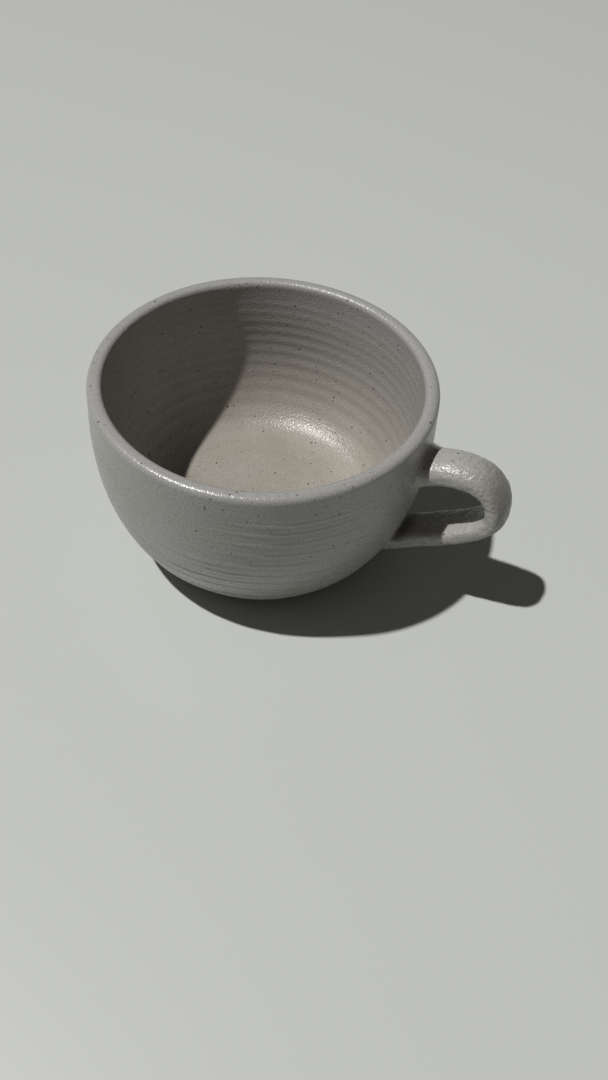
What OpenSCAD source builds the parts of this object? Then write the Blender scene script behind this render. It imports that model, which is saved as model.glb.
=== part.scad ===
// Hand-thrown stoneware cappuccino cup with a pulled strap handle.
// The cup stands on z = 0, its axis is Z and the handle points along +X.
// Sizes are in millimetres. Outer sizes are those of the finished, glazed cup.

/* [Bowl] */
// Outer diameter of the rim
rim_d = 100.6; // [90:0.2:110]
// Height from the table to the crown of the lip
cup_h = 60; // [56:1:72]
// Thickness of the rounded lip
lip_t = 4.3; // [3:0.1:6]
// Widest outer diameter, at the belly
belly_d = 101.2; // [94:0.2:112]
// Height of the widest place above the table
belly_z = 46; // [40:1:50]
// Radius where the curve of the belly would meet the table
toe_r = 27; // [22:0.5:30]
// Height of the inside floor above the table
floor_z = 11.4; // [9:0.1:13]
// Radius of the flat middle of the inside floor
well_r = 28; // [22:0.5:32]

/* [Foot] */
// Outer diameter of the foot ring
foot_d = 62; // [56:0.5:64]
// Height of the foot ring
foot_h = 1.2; // [0.8:0.1:2]
// Width of the face that the foot ring rests on
foot_w = 6; // [3:0.5:12]
// Depth of the recess inside the foot ring
foot_recess = 4; // [1:0.1:5]

/* [Throwing rings] */
// Bare stretch of the inside wall between the lip and the first ring
ring_start = 1.8; // [0.5:0.1:4]
// Spacing of the first two rings that the fingers left on the inside wall
ring_pitch = 3; // [2.5:0.1:6]
// How much wider each ring is than the one above it
ring_widen = 0.17; // [0:0.01:0.3]
// Height of a ring from its trough to its crest
ring_depth = 0.3; // [0:0.05:0.6]

/* [Handle] */
// Width of the strap
strap_w = 12; // [10:0.1:18]
// Thickness of the strap at the bend
strap_t = 6.1; // [5:0.1:9]
// Thickness of the strap at its upper root
upper_root_t = 7.8; // [6:0.1:10]
// Thickness of the strap at its lower root
lower_root_t = 6.6; // [5:0.1:9]
// Depth of the hollow along the inner side of the strap
strap_dish = 0.4; // [0:0.1:0.8]
// Room for a finger between the belly and the bend
finger_room = 19.7; // [15:0.1:26]
// Drop from the crown of the lip to the centre of the upper joint
upper_drop = 14.3; // [13:0.1:18]
// Height of the centre of the lower joint above the table
lower_lift = 17.2; // [14:0.1:22]
// Drop from the centre of the upper joint to the outermost place of the bend
bend_drop = 8; // [5:0.1:12]
// Angle at which the strap climbs away from the upper joint
upper_rise = 28; // [0:1:35]
// Angle at which the strap climbs away from the lower joint
lower_rise = 31; // [10:1:40]
// Stretch of the upper arm before it turns down
upper_pull = 12.2; // [8:0.1:15]
// Roundness of the bend above its outermost place
bend_up = 12.3; // [8:0.1:15]
// Roundness of the bend below its outermost place
bend_down = 7.4; // [5:0.1:10]
// Stretch of the lower arm before it turns up
lower_pull = 11; // [8:0.1:15]

/* [Joints of the handle] */
// Length of the blended clay along the strap
blend_len = 7; // [4:0.5:9]
// Spread of the blended clay round the upper root at the wall
upper_spread = 1.2; // [0.5:0.1:2.5]
// Spread of the blended clay round the lower root at the wall
lower_spread = 1.4; // [0.5:0.1:2.5]

/* [Glaze] */
// Thickness of the fired glaze
glaze_t = 0.4; // [0.2:0.05:0.6]
// Height of the bare clay below the edge of the outer glaze
glaze_line = 2.4; // [2.1:0.1:6]

/* [Hidden] */
$fn = 120;

clay_colour = "#b7a893";
glaze_colour = "#9b9892";
handle_glaze_colour = "#a3a19b";

belly_r = belly_d/2;
lip_r = lip_t/2;
lip_mid_r = rim_d/2 - lip_r;
lip_mid_z = cup_h - lip_r;
wall_t = lip_t;
inside_r = belly_r - wall_t;
foot_r = foot_d/2;
recess_r = foot_r - foot_w;

// Centres of the joints, and where the strap leaves the wall: clear of the glaze over the whole root
upper_z = cup_h - upper_drop;
bend_z = upper_z - bend_drop;
bend_r = belly_r + finger_room + strap_t/2;
upper_start = [wall_reach(upper_z, upper_root_t/2 + upper_spread), upper_z];
lower_start = [wall_reach(lower_lift, lower_root_t/2 + lower_spread), lower_lift];

// Length of the straight run into the wall, enough to pass right through it
root_depth = 3*wall_t;

// Steps along the belly, half of the lip, one throwing ring and the inside floor,
// along a blended joint and half of the strap, and round the strap
belly_steps = 24;
lip_steps = 6;
ring_steps = 6;
floor_steps = 4;
joint_steps = 4;
arm_steps = 12;
strap_sides = 24;

// Share of the inside wall over which the throwing rings grow below the lip,
// and what is left of them at the floor
ring_rise = 0.125;
ring_left = 0.2;

// Fullness of the lip, and of the outer and the inner side of the strap's section:
// 2 is an ellipse, more is squarer
lip_fullness = 2.5;
outer_fullness = 2.1;
inner_fullness = 3.4;
function full_cos(angle, fullness) = sign(cos(angle))*pow(abs(cos(angle)), 2/fullness);
function full_sin(angle, fullness) = sign(sin(angle))*pow(abs(sin(angle)), 2/fullness);

// Quarter curve from the toe or the well out to the widest place: the angle is 0 below and 90 at the widest
function turn_r(start_r, end_r, angle) = start_r + (end_r - start_r)*sin(angle);
function turn_z(low_z, angle) = belly_z - (belly_z - low_z)*cos(angle);
function turn_angle(low_z, z) = acos(max(0, min(1, (belly_z - z)/(belly_z - low_z))));

// Radius at a height of a straight wall between the belly and the lip
function neck_r(low_r, high_r, z) = low_r + (high_r - low_r)*(z - belly_z)/(lip_mid_z - belly_z);

// Outer radius of the glazed cup at a height below the lip, and its greatest one beside a root of the strap
function outer_r(z) = z < belly_z
    ? turn_r(toe_r, belly_r, turn_angle(0, z))
    : neck_r(belly_r, rim_d/2, z);
function wall_reach(z, half) = max(outer_r(z - half), outer_r(z), outer_r(z + half));

// Each point of a profile moved square to the curve, to the right of the way that it runs.
// The gap is one distance for all points or a list of one for each.
function shifted(points, gap) = [
    for (i = [0:len(points) - 1])
    let (before = points[max(i - 1, 0)])
    let (after = points[min(i + 1, len(points) - 1)])
    let (way = (after - before)/norm(after - before))
    points[i] + (is_list(gap) ? gap[i] : gap)*[way.y, -way.x]
];

function backwards(points) = [for (i = [len(points) - 1:-1:0]) points[i]];

// Half of the lip, from its crown at 90 degrees to its outer side at 0 or its inner side at 180
function lip_half(radius, side) = [
    for (i = [0:lip_steps])
    let (angle = 90 + (side - 90)*i/lip_steps)
    [lip_mid_r, lip_mid_z] + radius*[full_cos(angle, lip_fullness), full_sin(angle, lip_fullness)]
];

// Outside of the glazed cup from the belly down to a height
function outer_wall(low_z) = [
    for (i = [0:belly_steps])
    let (angle = 90 + (turn_angle(0, low_z) - 90)*i/belly_steps)
    [turn_r(toe_r, belly_r, angle), turn_z(0, angle)]
];

// Inside of the glazed cup: down the neck, round the turn and in to the axis.
// The throwing rings stand proud of it, and fade out at the lip and towards the floor.
neck_run = lip_mid_z - lip_r - belly_z;
turn_across = inside_r - well_r;
turn_drop = belly_z - floor_z;
turn_run = PI/2*norm([turn_across, turn_drop])/sqrt(2);
wall_run = neck_run + turn_run;

// Angle that keeps the steps nearly even along the turn, which is taller than it is wide
turn_even = 45/PI*(pow(turn_drop, 2) - pow(turn_across, 2))/(pow(turn_drop, 2) + pow(turn_across, 2));

// Run from the lip down to the trough above a ring, and the number of rings that fit on the wall
function ring_run(ring) = ring_start + ring_pitch*ring + ring_widen*ring*ring/2;
ringed_run = wall_run - ring_start;
ring_count = round(2*ringed_run/(ring_pitch + sqrt(pow(ring_pitch, 2) + 2*ring_widen*ringed_run)));
wall_steps = ring_count*ring_steps;
function ring_fade(share) = min(1, share/ring_rise)*(1 - (1 - ring_left)*share);
ring_waves = [
    for (i = [0:wall_steps])
    ring_depth/2*(1 - cos(360*i/ring_steps))*ring_fade(i/wall_steps)
];
smooth_wall = [
    for (i = [0:wall_steps])
    let (run = wall_run*ring_run(i/ring_steps)/ring_run(ring_count))
    let (z = lip_mid_z - lip_r - run)
    let (share = (run - neck_run)/turn_run)
    let (angle = 90*(1 - share) + turn_even*sin(180*share))
    run < neck_run
        ? [neck_r(inside_r, rim_d/2 - lip_t, z), z]
        : [turn_r(well_r, inside_r, angle), turn_z(floor_z, angle)]
];
inner_floor = [for (i = [1:floor_steps]) [well_r*(1 - i/floor_steps), floor_z]];
inner_wall = concat(shifted(smooth_wall, ring_waves), inner_floor);

// Profiles of the glazed surfaces, and of the clay under the glaze
outer_profile = concat(lip_half(lip_r, 0), outer_wall(glaze_line));
inner_profile = concat(lip_half(lip_r, 180), inner_wall);
clay_lip_r = lip_r - glaze_t;
outer_clay = concat(lip_half(clay_lip_r, 0), shifted(outer_wall(foot_h), glaze_t));
glazed_clay = concat(lip_half(clay_lip_r, 0), shifted(outer_wall(glaze_line), glaze_t));
inner_clay = concat(lip_half(clay_lip_r, 180), shifted(inner_wall, -glaze_t));

// Solid inside a profile that runs down from the lip, filled in to the axis
module filled(profile) {
    bottom = profile[len(profile) - 1];
    rotate_extrude()
    polygon(concat([[0, profile[0].y]], profile, [[0, bottom.y]]));
}

// Middle line of the strap: the place along it is 0 at the upper joint, 1 at the bend
// and 2 at the lower joint. Below 0 and above 2 it runs straight on into the wall.
upper_arm = [
    upper_start,
    upper_start + upper_pull*heading(upper_rise),
    [bend_r, bend_z + bend_up],
    [bend_r, bend_z]
];
lower_arm = [
    lower_start,
    lower_start + lower_pull*heading(lower_rise),
    [bend_r, bend_z - bend_down],
    [bend_r, bend_z]
];
function curve_at(c, t) = pow(1 - t, 3)*c[0] + 3*t*pow(1 - t, 2)*c[1] + 3*t*t*(1 - t)*c[2] + t*t*t*c[3];
function curve_way(c, t) = pow(1 - t, 2)*(c[1] - c[0]) + 2*t*(1 - t)*(c[2] - c[1]) + t*t*(c[3] - c[2]);
function arm_of(place) = place <= 1 ? upper_arm : lower_arm;
function share_of(place) = place <= 1 ? place : 2 - place;
function rise_of(place) = place <= 1 ? upper_rise : lower_rise;
function heading(angle) = [cos(angle), sin(angle)];
function strap_at(place) = share_of(place) < 0
    ? arm_of(place)[0] + share_of(place)*root_depth*heading(rise_of(place))
    : curve_at(arm_of(place), share_of(place));

// Share of an arm that the blended joint takes, and how far a place is through it
upper_blend = blend_len/(3*upper_pull);
lower_blend = blend_len/(3*lower_pull);
function through_blend(place) =
    max(0, min(1, share_of(place)/(place <= 1 ? upper_blend : lower_blend)));

// Lean of the strap's section: upright at the wall, square to the middle line past the joint
function lean(place) =
    let (way = curve_way(arm_of(place), max(0, share_of(place))))
    let (slope = through_blend(place)*atan2(way.y, way.x))
    place <= 1 ? slope : slope - 180;

// Section of the strap in its own plane, the outer side up, with an even coat round it
function strap_section(place, coat) =
    let (wall_spread = place <= 1 ? upper_spread : lower_spread)
    let (spread = wall_spread*pow(1 - through_blend(place), 2) + coat)
    let (root_t = place <= 1 ? upper_root_t : lower_root_t)
    let (thick = strap_t + (root_t - strap_t)*pow(1 - max(0, share_of(place)), 2))
    [
        for (k = [0:strap_sides - 1])
        let (angle = 360*k/strap_sides)
        let (fullness = sin(angle) > 0 ? outer_fullness : inner_fullness)
        let (across = full_cos(angle, fullness))
        let (dish = sin(angle) > 0 ? 0 : strap_dish*(1 - across*across))
        [(strap_w/2 + spread)*across, (thick/2 + spread)*full_sin(angle, fullness) + dish]
    ];

// Corners of that section in space
function strap_ring(place, coat) =
    let (mid = strap_at(place), angle = lean(place))
    [
        for (p = strap_section(place, coat))
        [mid.x - p.y*sin(angle), p.x, mid.y + p.y*cos(angle)]
    ];

// Places along the strap: its two joints, from inside the wall, and what lies between them
upper_places = concat([-1], [for (i = [0:joint_steps]) upper_blend*i/joint_steps]);
lower_places = concat([for (i = [joint_steps:-1:0]) 2 - lower_blend*i/joint_steps], [3]);
strap_places = concat(
    [for (i = [0:arm_steps]) upper_blend + (1 - upper_blend)*i/arm_steps],
    [for (i = [1:arm_steps]) 1 + (1 - lower_blend)*i/arm_steps]
);
all_places = concat(upper_places, [for (i = [1:2*arm_steps - 1]) strap_places[i]], lower_places);

// Triangles between two rings of corners that start at a and b in the list of points
function band(a, b) = [
    for (k = [0:strap_sides - 1])
    let (next = (k + 1)%strap_sides)
    each [[a + k, b + next, a + next], [a + k, b + k, b + next]]
];
function flipped(faces) = [for (f = faces) [f[0], f[2], f[1]]];

// Closed solid along the strap
module strap_solid(places) {
    rings = [for (place = places) strap_ring(place, 0)];
    last = (len(places) - 1)*strap_sides;
    cap = [for (k = [1:strap_sides - 2]) [0, k, k + 1]];
    polyhedron(
        [for (ring = rings) each ring],
        concat(
            [for (i = [0:len(places) - 2]) each band(i*strap_sides, (i + 1)*strap_sides)],
            cap,
            [for (f = flipped(cap)) f + [last, last, last]]
        )
    );
}

// Thin coat along the strap, open at both ends
module strap_coat(places, coat) {
    outer = [for (place = places) strap_ring(place, coat)];
    inner = [for (place = places) strap_ring(place, 0)];
    shell = len(places)*strap_sides;
    last = (len(places) - 1)*strap_sides;
    polyhedron(
        concat([for (ring = outer) each ring], [for (ring = inner) each ring]),
        concat(
            [for (i = [0:len(places) - 2]) each band(i*strap_sides, (i + 1)*strap_sides)],
            [
                for (i = [0:len(places) - 2])
                each flipped(band(shell + i*strap_sides, shell + (i + 1)*strap_sides))
            ],
            flipped(band(0, shell)),
            band(last, shell + last)
        )
    );
}

// Hole through the outer glaze where a root of the strap, its outer side up or down, is stuck to the clay
module root_hole(start, place, outer_side) {
    translate([start.x, 0, start.y])
    rotate([0, -rise_of(place), 0])
    translate([-root_depth, 0, 0])
    rotate([90, 0, 90])
    linear_extrude(2*root_depth)
    polygon([for (p = strap_section(place, 0)) [p.x, outer_side*p.y*cos(rise_of(place))]]);
}

module thrown_body() {
    color(clay_colour)
    rotate_extrude()
    polygon(concat(
        backwards(outer_clay),
        inner_clay,
        [[0, foot_recess], [recess_r, foot_recess], [recess_r, 0], [foot_r, 0], [foot_r, foot_h]]
    ));
}

module handle_strap() {
    color(clay_colour)
    strap_solid(strap_places);
}

module upper_joint() {
    color(clay_colour)
    difference() {
        strap_solid(upper_places);
        filled(glazed_clay);
    }
}

module lower_joint() {
    color(clay_colour)
    difference() {
        strap_solid(lower_places);
        filled(glazed_clay);
    }
}

module liner_glaze() {
    color(glaze_colour)
    rotate_extrude()
    polygon(concat(inner_profile, backwards(inner_clay)));
}

module outer_glaze() {
    color(glaze_colour)
    difference() {
        rotate_extrude()
        polygon(concat(outer_profile, backwards(glazed_clay)));
        root_hole(upper_start, 0, 1);
        root_hole(lower_start, 2, -1);
    }
}

module handle_glaze() {
    color(handle_glaze_colour)
    difference() {
        strap_coat(all_places, glaze_t);
        filled(outer_profile);
    }
}

thrown_body();
handle_strap();
upper_joint();
lower_joint();
liner_glaze();
outer_glaze();
handle_glaze();
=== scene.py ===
# Hand-thrown stoneware cappuccino cup with a pulled strap handle, in a satin oatmeal glaze.
# The cup stands on z = 0, its axis is Z and the handle points along +X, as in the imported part.
import math

import bpy
import numpy as np
from mathutils import Matrix, Vector, noise


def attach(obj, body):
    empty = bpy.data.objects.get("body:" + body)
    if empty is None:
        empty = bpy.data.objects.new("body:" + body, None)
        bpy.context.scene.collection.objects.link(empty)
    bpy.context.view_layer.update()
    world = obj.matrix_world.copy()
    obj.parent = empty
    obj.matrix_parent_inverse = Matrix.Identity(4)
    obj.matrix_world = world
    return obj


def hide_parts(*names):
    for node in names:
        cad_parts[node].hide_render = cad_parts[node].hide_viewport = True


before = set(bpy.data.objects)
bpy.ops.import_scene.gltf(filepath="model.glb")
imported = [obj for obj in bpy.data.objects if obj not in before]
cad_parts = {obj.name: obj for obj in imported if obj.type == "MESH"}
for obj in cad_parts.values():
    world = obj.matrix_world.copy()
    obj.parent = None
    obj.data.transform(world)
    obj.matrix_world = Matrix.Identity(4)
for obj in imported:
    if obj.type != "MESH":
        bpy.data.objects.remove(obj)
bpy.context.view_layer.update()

# Sizes in millimetres; meshes are turned to metres when they are made. They are the solids' sizes, but for
# a lip 0.2 mm thicker, an inside wall up to 0.7 mm thicker and a narrower well, as the photograph shows.
# The rim's radius is the one before RIM_DRAW, which brings it to the solids' rim.
MM = 0.001
RIM_R, CUP_H, LIP_T = 50.6, 60.0, 4.5
BELLY_R, BELLY_Z, TOE_R = 50.6, 46.0, 27.0
FLOOR_Z, WELL_R, WALL_T = 11.4, 26.5, 5.0
FOOT_R, FOOT_H, FOOT_W, FOOT_RECESS = 31.0, 1.2, 6.0, 4.0
GLAZE_T, GLAZE_LINE = 0.4, 2.4
STRAP_W, STRAP_T, UPPER_ROOT_T, LOWER_ROOT_T, STRAP_DISH = 12.0, 6.1, 7.8, 6.6, 0.4
LIP_FULL, BOWL_FULL, OUTER_FULL, INNER_FULL = 2.5, 2.3, 2.1, 3.4

LIP_R = LIP_T / 2
LIP_MID_R, LIP_MID_Z = RIM_R - LIP_R, CUP_H - LIP_R
INSIDE_R = BELLY_R - WALL_T

# Columns of points round the glazed cup, round its clay body and round the strap
CUP_COLS = 320
CLAY_COLS = 200
STRAP_COLS = 96
# Angle between two faces, in degrees, from which their edge is shaded sharp
SHARP_EDGE = 55

# Turn of the camera from the plane square to the handle, in degrees
VIEW_TURN = 20.54


# Mesh making

def smooth(value, low=0.0, high=1.0):
    """0 below low, 1 above high and an even S between them."""
    t = np.clip((value - low) / (high - low), 0, 1)
    return t * t * (3 - 2 * t)


def full(wave, fullness):
    """A sine or cosine that draws an oval: 2 gives an ellipse, more a squarer outline."""
    return np.sign(wave) * np.abs(wave) ** (2 / fullness)


def drift(turn, along, seed, reach):
    """Slow wander between about -1 and 1 over the turn in radians and a length along the wall in mm."""
    draw = np.random.default_rng(seed)
    total = 0
    for lobes in (1, 2, 3, 5, 7):
        lean = draw.uniform(-1, 1) / reach
        total = total + draw.uniform(0.6, 1) * np.sin(lobes * turn + lean * along + draw.uniform(0, math.tau))
    return total / 2.4


def near(turn, middle, half):
    """1 at a turn from the handle in degrees, about a third at half from it, and 0 far off."""
    away = (np.degrees(turn) - middle + 180) % 360 - 180
    return np.exp(-(away / half) ** 2)


def piece(name, rings, material, closed=False, start=None, end=None, layers=()):
    """A closed mesh from rings of points in mm, which run round into the first one or end in two poles."""
    rows, cols = rings.shape[:2]
    points = rings.reshape(-1, 3)
    here = np.arange(rows * cols).reshape(rows, cols)
    last = rows if closed else rows - 1
    upper = here[:last]
    lower = np.roll(here, -1, 0)[:last]
    quads = np.stack([upper, lower, np.roll(lower, -1, 1), np.roll(upper, -1, 1)], -1).reshape(-1, 4)
    faces = quads.tolist()
    if start is not None:
        ring, pole = here[0], len(points)
        points = np.vstack([points, start])
        faces += [[pole, int(a), int(b)] for a, b in zip(ring, np.roll(ring, -1))]
    if end is not None:
        ring, pole = here[-1], len(points)
        points = np.vstack([points, end])
        faces += [[pole, int(b), int(a)] for a, b in zip(ring, np.roll(ring, -1))]
    mesh = bpy.data.meshes.new(name)
    mesh.from_pydata((points * MM).tolist(), [], faces)
    a, b, c = (points[quads[:, k]] for k in (0, 1, 2))
    if np.einsum("ij,ij->i", np.cross(b - a, c - a), a).sum() < 0:
        mesh.flip_normals()
    mesh.shade_smooth()
    mesh.set_sharp_from_angle(angle=math.radians(SHARP_EDGE))
    poles = [ring for ring, pole in ((0, start), (-1, end)) if pole is not None]
    for layer, values in layers:
        values = np.concatenate([values.reshape(-1), values[poles].mean(1)])
        mesh.attributes.new(layer, "FLOAT", "POINT").data.foreach_set("value", values.astype(np.float32))
    mesh.materials.append(material)
    obj = bpy.data.objects.new(name, mesh)
    bpy.context.scene.collection.objects.link(obj)
    return obj


# Materials

def linear(code):
    """Linear colour of an sRGB hex value."""
    parts = [int(code[i:i + 2], 16) / 255 for i in (1, 3, 5)]
    return [c / 12.92 if c <= 0.04045 else ((c + 0.055) / 1.055) ** 2.4 for c in parts] + [1.0]


def add(tree, kind, inputs=None, **settings):
    """Adds a node, sets its properties, and sets or links its inputs."""
    made = tree.nodes.new("ShaderNode" + kind)
    for name, value in settings.items():
        setattr(made, name, value)
    for socket, value in (inputs or {}).items():
        if isinstance(value, bpy.types.NodeSocket):
            tree.links.new(value, made.inputs[socket])
        else:
            made.inputs[socket].default_value = value
    return made


# Iron specks in the glaze, the paler ones and then the dark ones: spacing in mm, smallest and largest radius
# as a share of the spacing, and how strongly the palest and the darkest show
SPECKS = ((1.5, 0.05, 0.19, 0.15, 0.6), (2.35, 0.08, 0.23, 0.4, 0.92))


def speckled_glaze(name, colour, thin, peel_mm, matt, bright, lip=None):
    """Satin glaze, sprayed on grogged stoneware and fired: a fine orange peel that breaks each highlight
    into sparks, iron specks bleeding through it, and a warmer tone where it runs thin over a ridge.
    The peel's depth is in mm, and its tops are bright where its hollows are matt. The colour of the lip,
    if given, turns into the glaze's own one over the depth attribute."""
    material = bpy.data.materials.new(name)
    material.use_nodes = True
    tree = material.node_tree
    tree.nodes.clear()
    place = add(tree, "TexCoord").outputs["Object"]

    # Cloudy tone over about 14 mm, and the thin glaze of the ridges, on the handle also painted shade
    cloud = add(tree, "TexNoise", {"Vector": place, "Scale": 1 / (14 * MM), "Detail": 3.0})
    tone = add(tree, "MapRange", {"Value": cloud.outputs["Fac"], "From Min": 0.3, "From Max": 0.7,
                                  "To Min": 0.0, "To Max": 0.35})
    ridge = add(tree, "Attribute", attribute_name="thin_glaze_and_painted_shade")
    amount = add(tree, "Math", {0: tone.outputs["Result"], 1: ridge.outputs["Fac"]},
                 operation="ADD", use_clamp=True)
    base = add(tree, "Mix", {0: amount.outputs[0], 6: linear(colour), 7: linear(thin)}, data_type="RGBA")
    if lip:
        depth = add(tree, "Attribute", attribute_name="depth")
        base = add(tree, "Mix", {0: depth.outputs["Fac"], 6: linear(lip), 7: base.outputs[2]},
                   data_type="RGBA")

    # Fine mottle where the glaze pooled between the grains of the clay, drawn at 0.55 mm so that it shows
    grain = add(tree, "TexNoise", {"Vector": place, "Scale": 1 / (0.55 * MM), "Detail": 2.0})
    shade = add(tree, "MapRange", {"Value": grain.outputs["Fac"], "From Min": 0.3, "From Max": 0.7,
                                   "To Min": 0.9, "To Max": 1.1})
    base = add(tree, "Mix", {0: 1.0, 6: base.outputs[2], 7: shade.outputs["Result"]},
               data_type="RGBA", blend_type="MULTIPLY")

    # Iron specks with edges that bleed: dark ones of 0.3 to 0.9 mm, about five on each square centimetre,
    # and paler, finer ones between them
    waver = add(tree, "TexNoise", {"Vector": place, "Scale": 1 / (0.5 * MM), "Detail": 1.0})
    nudge = add(tree, "VectorMath", {0: waver.outputs["Color"], "Scale": 0.22 * MM}, operation="SCALE")
    moved = add(tree, "VectorMath", {0: place, 1: nudge.outputs[0]}, operation="ADD")
    tinted = base
    for cell_mm, smallest, largest, palest, darkest in SPECKS:
        cells = add(tree, "TexVoronoi", {"Vector": moved.outputs[0], "Scale": 1 / (cell_mm * MM)})
        draw = add(tree, "SeparateColor", {0: cells.outputs["Color"]})
        size = add(tree, "MapRange", {"Value": draw.outputs[0], "From Min": 0.15,
                                      "To Min": smallest, "To Max": largest})
        core = add(tree, "Math", {0: size.outputs["Result"], 1: 0.45}, operation="MULTIPLY")
        speck = add(tree, "MapRange", {"Value": cells.outputs["Distance"], "From Min": core.outputs[0],
                                       "From Max": size.outputs["Result"], "To Min": 1.0, "To Max": 0.0},
                    interpolation_type="SMOOTHSTEP")
        strong = add(tree, "MapRange", {"Value": draw.outputs[1], "To Min": palest, "To Max": darkest})
        shown = add(tree, "Math", {0: speck.outputs["Result"], 1: strong.outputs["Result"]},
                    operation="MULTIPLY")
        rust = add(tree, "Mix", {0: draw.outputs[2], 6: linear("#2a2521"), 7: linear("#45372c")},
                   data_type="RGBA")
        tinted = add(tree, "Mix", {0: shown.outputs[0], 6: tinted.outputs[2], 7: rust.outputs[2]},
                     data_type="RGBA")

    # Orange peel: rounded bumps of about 0.6 mm over a finer tooth, smoother on their tops
    peel = add(tree, "TexNoise", {"Vector": place, "Scale": 1 / (0.62 * MM), "Detail": 1.5,
                                  "Roughness": 0.55})
    relief = add(tree, "Bump", {"Height": peel.outputs["Fac"], "Distance": peel_mm * MM, "Strength": 1.0})
    sheen = add(tree, "MapRange", {"Value": peel.outputs["Fac"], "From Min": 0.3, "From Max": 0.7,
                                   "To Min": matt, "To Max": bright})
    shader = add(tree, "BsdfPrincipled", {"Base Color": tinted.outputs[2], "IOR": 1.5,
                                          "Roughness": sheen.outputs["Result"],
                                          "Normal": relief.outputs["Normal"]})
    add(tree, "OutputMaterial", {"Surface": shader.outputs["BSDF"]})
    return material


def bare_stoneware(name):
    """Unglazed stoneware, turned on the wheel, wiped and fired: dry and matt,
    buff with pale grog and iron specks."""
    material = bpy.data.materials.new(name)
    material.use_nodes = True
    tree = material.node_tree
    tree.nodes.clear()
    place = add(tree, "TexCoord").outputs["Object"]
    cloud = add(tree, "TexNoise", {"Vector": place, "Scale": 1 / (9 * MM), "Detail": 4.0})
    base = add(tree, "Mix", {0: cloud.outputs["Fac"], 6: linear("#b09a7e"), 7: linear("#c4b096")},
               data_type="RGBA")
    grog = add(tree, "TexVoronoi", {"Vector": place, "Scale": 1 / (0.9 * MM)})
    draw = add(tree, "SeparateColor", {0: grog.outputs["Color"]})
    grain = add(tree, "MapRange", {"Value": grog.outputs["Distance"], "From Min": 0.12, "From Max": 0.3,
                                   "To Min": 0.7, "To Max": 0.0})
    tint = add(tree, "Mix", {0: draw.outputs[0], 6: linear("#7d6a55"), 7: linear("#d9cbb6")},
               data_type="RGBA")
    grogged = add(tree, "Mix", {0: grain.outputs["Result"], 6: base.outputs[2], 7: tint.outputs[2]},
                  data_type="RGBA")
    iron = add(tree, "TexVoronoi", {"Vector": place, "Scale": 1 / (2.85 * MM)})
    speck = add(tree, "MapRange", {"Value": iron.outputs["Distance"], "From Min": 0.06, "From Max": 0.14,
                                   "To Min": 0.9, "To Max": 0.0})
    tinted = add(tree, "Mix", {0: speck.outputs["Result"], 6: grogged.outputs[2], 7: linear("#2a231f")},
                 data_type="RGBA")
    tooth = add(tree, "TexNoise", {"Vector": place, "Scale": 1 / (0.35 * MM), "Detail": 3.0})
    relief = add(tree, "Bump", {"Height": tooth.outputs["Fac"], "Distance": 0.05 * MM, "Strength": 1.0})
    shader = add(tree, "BsdfPrincipled", {"Base Color": tinted.outputs[2], "Roughness": 0.85,
                                          "Normal": relief.outputs["Normal"], "IOR": 1.5})
    add(tree, "OutputMaterial", {"Surface": shader.outputs["BSDF"]})
    return material


outer_finish = speckled_glaze("oatmeal_glaze_outside", "#989793", "#918e88",
                              peel_mm=0.14, matt=0.34, bright=0.2)
liner_finish = speckled_glaze("oatmeal_glaze_inside", "#9c978d", "#857d72",
                              peel_mm=0.16, matt=0.44, bright=0.24, lip="#989793")
# On the handle the darker second colour also stands for painted shade on the outer side of the loop's turn
handle_finish = speckled_glaze("oatmeal_glaze_handle", "#acaaa4", "#84817b",
                               peel_mm=0.2, matt=0.36, bright=0.2)
clay_finish = bare_stoneware("bare_buff_stoneware")


# Smooth glazed surface of the bowl: radius, height and outward direction along its profile

def stretch(way, count):
    """Points of one stretch of the profile, from 0 to 1 along it."""
    return np.stack(way(np.linspace(0, 1, count)), -1)


LOW_ANGLE = math.acos((BELLY_Z - GLAZE_LINE) / BELLY_Z)
HALF = math.pi / 2
outside = stretch(lambda t: (TOE_R + (BELLY_R - TOE_R) * np.sin(LOW_ANGLE + (HALF - LOW_ANGLE) * t),
                             BELLY_Z - BELLY_Z * np.cos(LOW_ANGLE + (HALF - LOW_ANGLE) * t)), 1600)
neck_out = stretch(lambda t: (BELLY_R + (RIM_R - BELLY_R) * smooth(t),
                              BELLY_Z + (LIP_MID_Z - BELLY_Z) * t), 400)
lip = stretch(lambda t: (LIP_MID_R + LIP_R * full(np.cos(math.pi * t), LIP_FULL),
                         LIP_MID_Z + LIP_R * full(np.sin(math.pi * t), LIP_FULL)), 801)
neck_in = stretch(lambda t: (RIM_R - LIP_T + (INSIDE_R - RIM_R + LIP_T) * smooth(t),
                             LIP_MID_Z + (BELLY_Z - LIP_MID_Z) * t), 400)
inside = stretch(lambda t: (WELL_R + (INSIDE_R - WELL_R) * full(np.cos(HALF * t), BOWL_FULL),
                            BELLY_Z - (BELLY_Z - FLOOR_Z) * full(np.sin(HALF * t), BOWL_FULL)), 1600)
well = stretch(lambda t: (WELL_R * (1 - t), FLOOR_Z + 0 * t), 600)
profile = np.vstack([outside, neck_out[1:], lip[1:], neck_in[1:], inside[1:], well[1:]])
length = np.concatenate([[0], np.cumsum(np.linalg.norm(np.diff(profile, axis=0), axis=1))])
crown = length[np.argmax(profile[:, 1])]
wall_top = length[len(outside) + len(neck_out) - 2]
hollow_top = length[len(outside) + len(neck_out) + len(lip) - 3]
run_zero = hollow_top + LIP_R
floor_edge = length[-len(well)]


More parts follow.
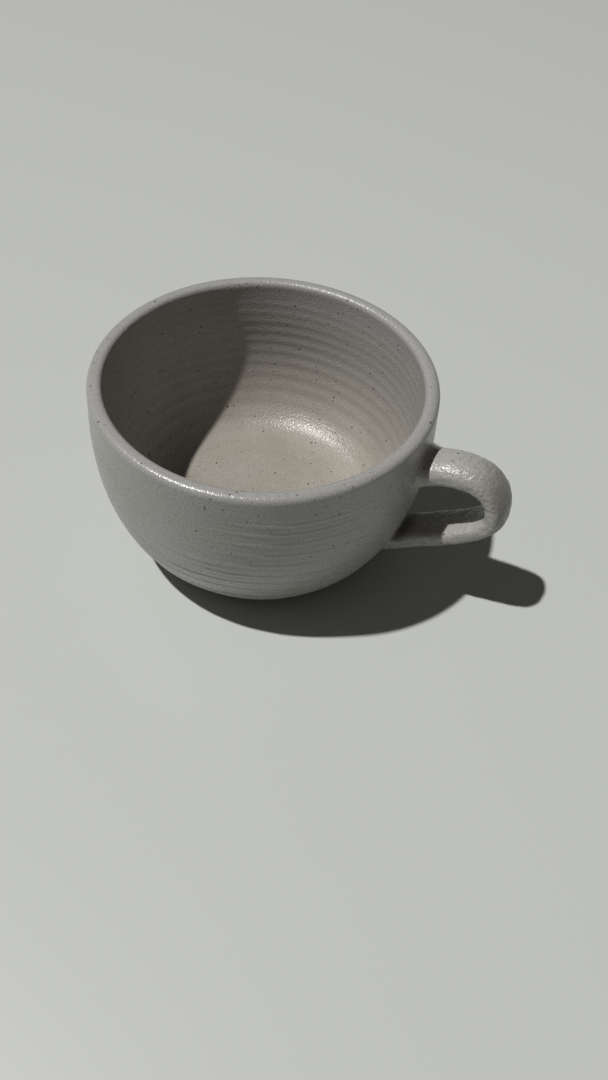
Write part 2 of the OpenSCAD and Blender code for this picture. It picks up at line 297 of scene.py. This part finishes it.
def bowl_at(s):
    """Radius, height and outward direction of the smooth glazed surface at lengths along the profile."""
    step = 0.05
    r, z = np.interp(s, length, profile[:, 0]), np.interp(s, length, profile[:, 1])
    low, high = np.clip(s - step, 0, length[-1]), np.clip(s + step, 0, length[-1])
    way = np.stack([np.interp(high, length, profile[:, k]) - np.interp(low, length, profile[:, k])
                    for k in (0, 1)])
    way /= np.linalg.norm(way, axis=0)
    return r, z, way[1], -way[0]


# Marks of the maker's fingers

# Heights of the lines outside, in mm, which climb by one line on each turn
LINE_Z = np.array([6.6, 11.0, 15.5, 19.8, 23.7, 27.6, 32.7, 37.2, 41.9, 46.1, 49.8, 53.6])
# Spacing of the lines, half width of a ridge and the most it may stand proud
LINE_GAP = 4.25
LINE_HALF = 0.42
LINE_DEPTH = 0.16
# Height of the lines where no patch of them stands out
FAINT_LINE = 0.01
# Turn at which the lines start, their wander as a share of their spacing, and the finer line between them
LINE_START, LINE_WANDER, FINER_LINE = 95, 0.10, 0.45
# Heights between which the lines rise out of the smooth toe and fade below the lip
LINES_RISE, LINES_FADE = (3, 6), (52, 56)
# How far the smooth wall between the lines lies inside the solid's surface
WALL_SINK = 0.1
# Where lines stand out: lowest and highest z, turn from the handle, half width of the turn, and how tall
LINE_PATCHES = ((6, 34, -84, 42, 0.13), (36, 53, -52, 30, 0.08), (8, 30, 20, 36, 0.1),
                (30, 52, 118, 48, 0.07), (9, 36, 168, 44, 0.09), (38, 52, -150, 40, 0.05))
# Length from the lip to the first ring inside, from it to the next one, and how much each step grows
FIRST_RING, RING_STEP, RING_GROW = 3.3, 3.1, 0.092
RING_HEIGHT = 0.12
# Turn at which the spiral starts, its wander as a share of its spacing, and how blunt its crests are
SPIRAL_START, SPIRAL_WANDER, CREST = 77, 0.07, 0.55
# Lengths below the lip over which the rings begin, grow to their full height and fade towards the floor
RINGS_BEGIN, RINGS_GROW, RINGS_FADE = (-0.5, 2.5), (6, 20), (28, 52)
# The rim is drawn in a little from a true circle, and sways where the hand let go of it: turn from the
# handle, half width of the turn, how far the rim goes out and down, and how far the wall below is drawn in
RIM_DRAW = 0.35
RIM_SWAYS = ((-79, 50, 0.35, 0.9, 0.45), (110, 45, 0.15, 0.0, 0.3), (185, 40, -0.25, 0.2, 0.1))
# Heights over which the rim sways, from which it dips, and about which the wall below it is drawn in
SWAY_Z, DIP_Z, HOLLOW_Z, HOLLOW_HALF = (46, 59), 30, 44, 10
# How thin the glaze is on a full ridge, outside and inside
RIDGE_THIN = 0.4
# Half the length over which the outer marks give way to the inner ones at the crown of the lip
CROWN_HALF = 2.2
# Length over which the glaze thins to its lower edge
EDGE_RUN = 0.5


def outside_marks(z, turn):
    """Height of the outer surface below its widest, and how thin the glaze is there."""
    path = np.interp(z, LINE_Z, np.arange(len(LINE_Z))) - (np.degrees(turn) - VIEW_TURN + LINE_START) / 360
    path = path + LINE_WANDER * drift(turn, z, 11, 9)
    height = FAINT_LINE + FAINT_LINE * drift(turn, z, 12, 6)
    for low, high, middle, half, tall in LINE_PATCHES:
        in_patch = smooth(z, low - 3, low + 2) * (1 - smooth(z, high - 2, high + 3))
        in_patch = near(turn, middle, half) * in_patch
        height = height + tall * in_patch * (0.8 + 0.35 * drift(turn, z, 13 + middle % 7, 5))
    height = np.clip(height, 0, LINE_DEPTH) * (1 - smooth(z, *LINES_FADE)) * smooth(z, *LINES_RISE)
    ridge = 0
    for finer, share in ((1, 1.0), (2, FINER_LINE)):
        off = (finer * path - np.round(finer * path)) * LINE_GAP / finer
        ridge = ridge + share * np.exp(-(off / LINE_HALF) ** 2)
    ridge = height * ridge
    return ridge - WALL_SINK, np.clip(RIDGE_THIN * ridge / LINE_DEPTH, 0, 1)


def inside_marks(run, turn):
    """Height of the throwing spiral above the smooth inner wall, and how thin the glaze is there."""
    below = np.maximum(run, 0) - FIRST_RING
    ring = (np.sqrt(RING_STEP ** 2 + 4 * RING_GROW * below) - RING_STEP) / (2 * RING_GROW)
    turned_by = (np.degrees(turn) - VIEW_TURN - SPIRAL_START) / 360
    spiral = ring + turned_by + SPIRAL_WANDER * drift(turn, run, 21, 12)
    wave = 1 - np.sqrt(np.sin(math.pi * spiral) ** 2 + CREST ** 2)
    wave = (wave + math.hypot(1, CREST) - 1) / (math.hypot(1, CREST) - CREST)
    grown = smooth(run, *RINGS_BEGIN) * (0.6 + 0.4 * smooth(run, *RINGS_GROW))
    grown = grown * (1 - 0.8 * smooth(run, *RINGS_FADE))
    height = RING_HEIGHT * grown * np.clip(0.8 + 0.5 * drift(turn, run, 22, 6), 0.2, 1.4)
    return height * wave, RIDGE_THIN * wave * grown


def bowl_surface(s, turn, sunk=0.0, marked=True):
    """Points of the glazed surface at lengths along the profile and turns, and how thin the glaze is."""
    s, turn = np.broadcast_arrays(s, turn)
    r, z, out_r, out_z = bowl_at(s)
    outer, thin_out = outside_marks(z, turn)
    inner, thin_in = inside_marks(s - run_zero, turn)
    within = smooth(s, crown - CROWN_HALF, crown + CROWN_HALF)
    proud = ((1 - within) * outer + within * inner) * marked - sunk
    thin = (1 - within) * thin_out + within * thin_in
    edge = np.clip(1 - s / EDGE_RUN, 0, 1)
    proud = proud - GLAZE_T * (1 - np.sqrt(1 - edge ** 2)) * marked
    outward, down, hollow = -RIM_DRAW, 0, 0
    for middle, half, out, drop, inward in RIM_SWAYS:
        here = near(turn, middle, half)
        outward, down, hollow = outward + out * here, down + drop * here, hollow + inward * here
    moved = outward * smooth(z, *SWAY_Z) - hollow * np.exp(-((z - HOLLOW_Z) / HOLLOW_HALF) ** 2)
    r, z = r + proud * out_r + moved, z + proud * out_z - down * smooth(z, DIP_Z, CUP_H)
    return np.stack([r * np.cos(turn), r * np.sin(turn), z], -1), thin


def rows(*stretches):
    """Lengths along the profile: each stretch is its end and the spacing up to it."""
    found = [stretches[0]]
    for end, spacing in stretches[1:]:
        count = max(1, round((end - found[-1]) / spacing))
        found += list(np.linspace(found[-1], end, count + 1)[1:])
    return np.array(found)


columns = np.arange(CUP_COLS) / CUP_COLS * math.tau
# Depth of the coats' hidden inner face below the glazed surface, and how many rows of the outer face it skips
BACK = GLAZE_T + 0.35
OUTER_SKIP, LINER_SKIP = 6, 4
# Waver of the glaze's lower edge, and the height over which it dies away
EDGE_WAVER, WAVER_RUN = 0.32, 5
# Length from the crown over which the lip's colour turns into the liner's own
LIP_RUN = 55

outer_rows = rows(0.0, (0.5, 0.1), (wall_top - 1, 0.25), (crown, 0.17))
waver = EDGE_WAVER * drift(columns, 0, 31, 1)[None, :] * (1 - smooth(outer_rows, 0, WAVER_RUN))[:, None]
front, thin_front = bowl_surface(outer_rows[:, None] + np.maximum(waver, -outer_rows[:, None]),
                                 columns[None, :])
back_rows = outer_rows[::-OUTER_SKIP]
back_rows = np.append(back_rows, 0.0) if back_rows[-1] > 0 else back_rows
back, thin_back = bowl_surface(back_rows[:, None], columns[None, :], BACK, False)
outer_glaze = piece("outer_glaze_coat", np.concatenate([front, back]), outer_finish, closed=True,
                    layers=[("thin_glaze_and_painted_shade", np.concatenate([thin_front, thin_back]))])

liner_rows = rows(crown, (hollow_top + 2, 0.17), (floor_edge, 0.4), (length[-1] - 0.6, 0.6))
front, thin_front = bowl_surface(liner_rows[:, None], columns[None, :])
back, thin_back = bowl_surface(liner_rows[::LINER_SKIP, None], columns[None, :], BACK, False)
middle = np.array([0.0, 0.0, front[-1, :, 2].mean()])
front_depth = np.repeat(smooth(liner_rows, crown, crown + LIP_RUN)[:, None], CUP_COLS, 1)
liner_glaze = piece("liner_glaze_coat", np.concatenate([front[::-1], back]), liner_finish,
                    start=middle, end=np.array([0.0, 0.0, FLOOR_Z - BACK]),
                    layers=[("thin_glaze_and_painted_shade", np.concatenate([thin_front[::-1], thin_back])),
                            ("depth", np.concatenate([front_depth[::-1], front_depth[::LINER_SKIP]]))])


# Thrown clay: seen only at the foot, below the edge of the glaze

clay_columns = np.arange(CLAY_COLS) / CLAY_COLS * math.tau
clay_back = BACK + 0.02
# Radius of the plain middle under the foot, and the depth and spacing of the turning grooves round it
HUB_R, GROOVE, GROOVE_GAP = 2.0, 0.11, 2.3


def rounded(points, radii, steps=6):
    """A polyline with its inner corners rounded off."""
    made = [points[0]]
    for before, corner, after, radius in zip(points, points[1:], points[2:], radii):
        one = corner + (before - corner) / np.linalg.norm(before - corner) * radius
        two = corner + (after - corner) / np.linalg.norm(after - corner) * radius
        for t in np.linspace(0, 1, steps):
            made.append((1 - t) ** 2 * one + 2 * t * (1 - t) * corner + t * t * two)
    return np.array(made + [points[-1]])


def clay_body():
    """Rings of the clay from the middle of the inside floor, over the lip and down to the foot."""
    covered = rows(0.0, (wall_top - 1, 1.6), (crown, 0.5), (hollow_top + 2, 0.5),
                   (length[-1] - 2, 1.6))[::-1]
    under, _ = bowl_surface(covered[:, None], clay_columns[None, :], clay_back, False)
    toe_r, toe_z = float(np.hypot(*under[-1, 0, :2])), float(under[-1, 0, 2])
    recess_r = FOOT_R - FOOT_W
    # Corners of the foot's section, from the glaze down to the recess, and how far each is rounded
    corners = np.array([[toe_r, toe_z], [FOOT_R - 0.6, FOOT_H + 0.25], [FOOT_R, FOOT_H], [FOOT_R, 0],
                        [recess_r, 0], [recess_r - 0.4, FOOT_RECESS], [HUB_R, FOOT_RECESS]])
    foot = rounded(corners, [0.3, 0.3, 0.5, 0.7, 0.5])
    base_r = np.linspace(foot[-2, 0], HUB_R, 46)[1:]
    turned = FOOT_RECESS + GROOVE * (1 + np.cos(base_r / GROOVE_GAP * math.tau)) * smooth(base_r, HUB_R, 6)
    foot = np.vstack([foot[1:-1], np.stack([base_r, turned], -1)])
    lower = np.stack([foot[:, :1] * np.cos(clay_columns), foot[:, :1] * np.sin(clay_columns),
                      np.repeat(foot[:, 1:], CLAY_COLS, 1)], -1)
    return np.concatenate([under, lower])


clay = piece("thrown_clay_body", clay_body(), clay_finish,
             start=np.array([0, 0, FLOOR_Z - clay_back]), end=np.array([0, 0, FOOT_RECESS]))


# Handle: a pulled strap, stuck to the wall at both roots and blended with a finger

UPPER_Z, LOWER_Z = 45.7, 17.2
BEND_R, BEND_Z = 73.35, 37.7
UPPER_PATH = np.array([[50.6, UPPER_Z], [61.37, 51.43], [BEND_R, BEND_Z + 12.3], [BEND_R, BEND_Z]])
LOWER_PATH = np.array([[BEND_R, BEND_Z], [BEND_R, BEND_Z - 7.4], [56.53, 22.87], [47.1, LOWER_Z]])
# Heights on the wall about which the blended clay spreads
UPPER_MID, LOWER_MID = 45.7, 16.2
# Share of each path that the blended clay takes
BLEND = 0.2
# Spread of the blended clay at the wall: sideways, on the outer side of the loop and on its inner side
UPPER_FLARE, LOWER_FLARE = (1.2, 1.4, 0.4), (1.4, 1.3, 0.7)
# Depth to which the blended clay is tucked into the wall, and the pull of its curve at both ends
TUCK, WALL_PULL, STRAP_PULL = 1.2, 1.6, 3.4
# Direction in which the clay leaves the wall: share outward, and share towards the middle of the strap
LEAVE_OUT, LEAVE_IN = 0.8, 0.6
# Depths of the coat's inner face and of the clay under it
COAT_BACK, CLAY_TOP = GLAZE_T + 0.05, GLAZE_T + 0.08


def along(path, t):
    """Place and direction of a bent path at shares of it."""
    t = np.asarray(t)[:, None]
    u = 1 - t
    place = u ** 3 * path[0] + 3 * t * u ** 2 * path[1] + 3 * t * t * u * path[2] + t ** 3 * path[3]
    way = u ** 2 * (path[1] - path[0]) + 2 * t * u * (path[2] - path[1]) + t * t * (path[3] - path[2])
    return place, way / np.linalg.norm(way, axis=1)[:, None]


strap_turn = np.arange(STRAP_COLS) / STRAP_COLS * math.tau


def section(half_wide, half_thick):
    """Outline of the strap square to its path: sideways, and outward from the loop."""
    outer = np.sin(strap_turn) > 0
    fullness = np.where(outer, OUTER_FULL, INNER_FULL)
    across = full(np.cos(strap_turn), fullness)
    outward = half_thick * full(np.sin(strap_turn), fullness)
    return half_wide * across, outward + np.where(outer, 0, STRAP_DISH * (1 - across ** 2))


def strap_rings(path, shares, root_first, root_t):
    """Rings of the strap's glazed surface along one of its two arms."""
    place, way = along(path, shares)
    from_root = shares if root_first else 1 - shares
    made = []
    for (x, z), (dx, dz), share in zip(place, way, from_root):
        half_thick = (STRAP_T + (root_t - STRAP_T) * (1 - share) ** 2) / 2 + GLAZE_T
        sideways, outward = section(STRAP_W / 2 + GLAZE_T, half_thick)
        made.append(np.stack([x - outward * dz, sideways, z + outward * dx], -1))
    return np.array(made)


def wall_ring(z_mid, upper, flare, root_t):
    """Ring where the blended clay meets the wall, and the wall's outward direction there."""
    half_thick = root_t / 2 + GLAZE_T
    sideways, outward = section(STRAP_W / 2 + GLAZE_T + flare[0], half_thick)
    outward = outward * (1 + np.where(outward > 0, flare[1], flare[2]) / half_thick)
    z = z_mid + (outward if upper else -outward)
    up = length <= wall_top
    s = np.interp(z, profile[up, 1], length[up])
    r, z, out_r, out_z = bowl_at(s)
    x = np.sqrt(r ** 2 - sideways ** 2)
    return np.stack([x, sideways, z], -1), np.stack([out_r * x / r, out_r * sideways / r, out_z], -1)


def blended_joint(ring, way, z_mid, upper, flare, root_t, steps=14):
    """Rings that run from inside the wall out to a ring of the strap, with a fillet at the wall."""
    foot, out = wall_ring(z_mid, upper, flare, root_t)
    centre = np.array([foot[:, 0].mean(), 0, z_mid])
    inward = centre - foot
    inward -= out * np.einsum("ij,ij->i", inward, out)[:, None]
    inward /= np.linalg.norm(inward, axis=1)[:, None]
    leave = out * LEAVE_OUT + inward * LEAVE_IN
    start = foot - leave * TUCK
    one, two = foot + leave * WALL_PULL, ring - way * STRAP_PULL
    made = [start]
    for t in np.linspace(0, 1, steps)[:-1]:
        u = 1 - t
        made.append(u ** 3 * foot + 3 * t * u ** 2 * one + 3 * t * t * u * two + t ** 3 * ring)
    return np.array(made)


def strap_surface():
    """All rings of the smooth glazed strap, from the upper wall round to the lower one."""
    upper = strap_rings(UPPER_PATH, np.linspace(BLEND, 1, 84), True, UPPER_ROOT_T)
    lower = strap_rings(LOWER_PATH, np.linspace(0, 1 - BLEND, 76)[1:], False, LOWER_ROOT_T)
    _, upper_way = along(UPPER_PATH, [BLEND])
    _, lower_way = along(LOWER_PATH, [1 - BLEND])
    upper_way = np.array([upper_way[0, 0], 0, upper_way[0, 1]])
    lower_way = np.array([-lower_way[0, 0], 0, -lower_way[0, 1]])
    top = blended_joint(upper[0], upper_way, UPPER_MID, True, UPPER_FLARE, UPPER_ROOT_T)
    low = blended_joint(lower[-1], lower_way, LOWER_MID, False, LOWER_FLARE, LOWER_ROOT_T)
    return np.concatenate([top, upper, lower, low[::-1]]), len(top), len(low)


def grid_out(rings):
    """Outward direction at each point of rings that close round."""
    round_way = np.roll(rings, -1, 1) - np.roll(rings, 1, 1)
    along_way = np.gradient(rings, axis=0)
    out = np.cross(round_way, along_way)
    out /= np.linalg.norm(out, axis=2)[:, :, None]
    middle = rings.mean(1, keepdims=True)
    return out * np.sign(np.einsum("ijk,ijk->ij", out, rings - middle).sum())


def pebbled(points, size_mm, depth_mm):
    """Depth of the pebbled dents that a wet hand leaves along a pulled strap."""
    flat = points.reshape(-1, 3) / size_mm
    found = [0.5 + 0.5 * noise.noise(Vector(p)) + 0.5 * noise.noise(Vector(p * 0.45)) for p in flat]
    return depth_mm * np.clip(np.array(found), 0, 1.3).reshape(points.shape[:2])


strap, top_count, low_count = strap_surface()
strap_out = grid_out(strap)
# Size and depth of the dents
PEBBLE, DENT = 1.1, 0.26
dents = pebbled(strap, PEBBLE, DENT)
front = strap - strap_out * dents[:, :, None]
back = (strap - strap_out * COAT_BACK)[::-1]
# The glaze is thin between the dents; painted shade darkens the outer side of the loop's turn, facing away
# from the light
BEND_SHADE_X, BETWEEN_DENTS, BEND_SHADE = (63, 75), 0.25, 0.8
bend_shade = smooth(strap[:, :, 0], *BEND_SHADE_X) * smooth(np.sin(strap_turn), -0.2, 0.7)
strap_thin_and_shade = np.concatenate([BETWEEN_DENTS * (1 - dents / DENT) + BEND_SHADE * bend_shade, 0 * dents])
handle_glaze = piece("handle_glaze_coat", np.concatenate([front, back]), handle_finish, closed=True,
                     layers=[("thin_glaze_and_painted_shade", strap_thin_and_shade)])

# Clay under the coat: the strap, and the two roots that the maker blended into the wall
under = (strap - strap_out * CLAY_TOP)[:, ::2]
clay_strap, clay_upper, clay_lower = (
    piece(name, rings, clay_finish, start=rings[0].mean(0), end=rings[-1].mean(0))
    for name, rings in (("pulled_clay_strap", under[top_count:-low_count:2]),
                        ("upper_clay_joint", under[:top_count + 1]),
                        ("lower_clay_joint", under[-low_count - 1:])))

for obj, node_name, slot_name in ((outer_glaze, "outer_glaze", "outer_glaze"),
                                  (liner_glaze, "liner_glaze", "liner_glaze"),
                                  (handle_glaze, "handle_glaze", "handle_glaze"),
                                  (clay, "thrown_body", "stoneware_clay"),
                                  (clay_strap, "handle_strap", "stoneware_clay"),
                                  (clay_upper, "upper_joint", "stoneware_clay"),
                                  (clay_lower, "lower_joint", "stoneware_clay")):
    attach(obj, "root")
    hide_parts(node_name)


# Stage: pale floor, soft key from the left, an even fill, and the camera of the photograph

floor_mesh = bpy.data.meshes.new("pale_floor")
reach = 3.0
floor_mesh.from_pydata([(-reach, -reach, 0), (reach, -reach, 0), (reach, reach, 0), (-reach, reach, 0)], [],
                       [(0, 1, 2, 3)])
floor = bpy.data.objects.new("pale_floor", floor_mesh)
bpy.context.scene.collection.objects.link(floor)
# Pale board with a satin coat: it throws a soft sheen back towards the light
board = bpy.data.materials.new("satin_pale_board")
board.use_nodes = True
board_shader = board.node_tree.nodes["Principled BSDF"]
board_shader.inputs["Base Color"].default_value = linear("#bdbfba")
board_shader.inputs["Roughness"].default_value = 0.36
floor_mesh.materials.append(board)

turned = Matrix.Rotation(math.radians(VIEW_TURN), 4, "Z")


def soft_light(name, direction, distance, size, energy):
    """A square soft box that looks at the cup from a direction in the camera's frame."""
    lamp = bpy.data.lights.new(name, "AREA")
    lamp.size = size
    lamp.energy = energy
    obj = bpy.data.objects.new(name, lamp)
    way = (turned @ Vector(direction)).normalized()
    obj.location = way * distance
    obj.rotation_euler = way.to_track_quat("Z", "Y").to_euler()
    bpy.context.scene.collection.objects.link(obj)


soft_light("key_box", direction=(-0.448, -0.096, 1.0), distance=9.0, size=0.22, energy=850.0)

world = bpy.data.worlds.new("soft_fill")
world.use_nodes = True
sky = world.node_tree.nodes["Background"]
sky.inputs["Color"].default_value = (1.01, 0.97, 0.98, 1.0)
sky.inputs["Strength"].default_value = 0.075
bpy.context.scene.world = world

lens = bpy.data.cameras.new("photo_camera")
lens.lens = 33.4
lens.sensor_width = 36.0
# Tilt from straight down and roll of the camera in degrees, and its place in metres along its own axes
TILT, ROLL, PLACE = 42.85, 4.574, (0.01435, -0.00665, 0.3283)
camera = bpy.data.objects.new("photo_camera", lens)
aim = turned @ Matrix.Rotation(math.radians(TILT), 4, "X") @ Matrix.Rotation(math.radians(ROLL), 4, "Z")
camera.matrix_world = Matrix.Translation(aim @ Vector(PLACE)) @ aim
bpy.context.scene.collection.objects.link(camera)
bpy.context.scene.camera = camera
bpy.context.scene.view_settings.view_transform = "Standard"
